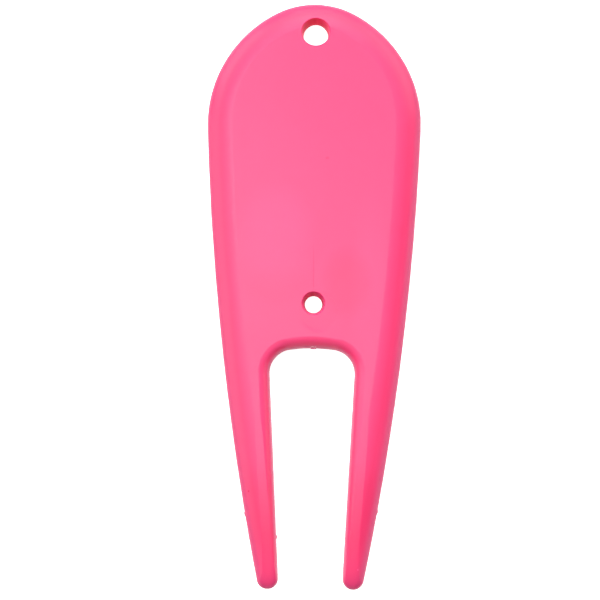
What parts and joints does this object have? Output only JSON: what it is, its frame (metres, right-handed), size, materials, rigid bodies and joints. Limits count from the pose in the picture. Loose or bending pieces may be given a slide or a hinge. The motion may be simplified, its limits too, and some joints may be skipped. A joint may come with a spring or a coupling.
{
  "type": "divot repair tool",
  "caption": "Flat moulded plastic tool with a broad rounded head that tapers into two blunt prongs, with a keyring hole and a smaller peg hole.",
  "frame": {"origin": "under the middle of the tool's box, on the flat back face that it lies on", "axes": "+Y along the tool from the prong tips to the head, +Z out of the front face, +X across the tool to the right seen from the front"},
  "size_m": [0.0304, 0.083, 0.0035],
  "materials": {
    "pink_plastic": "glossy, as moulded"
  },
  "bodies": {
    "root": {"divot_tool": "pink_plastic"}
  },
  "joints": []
}
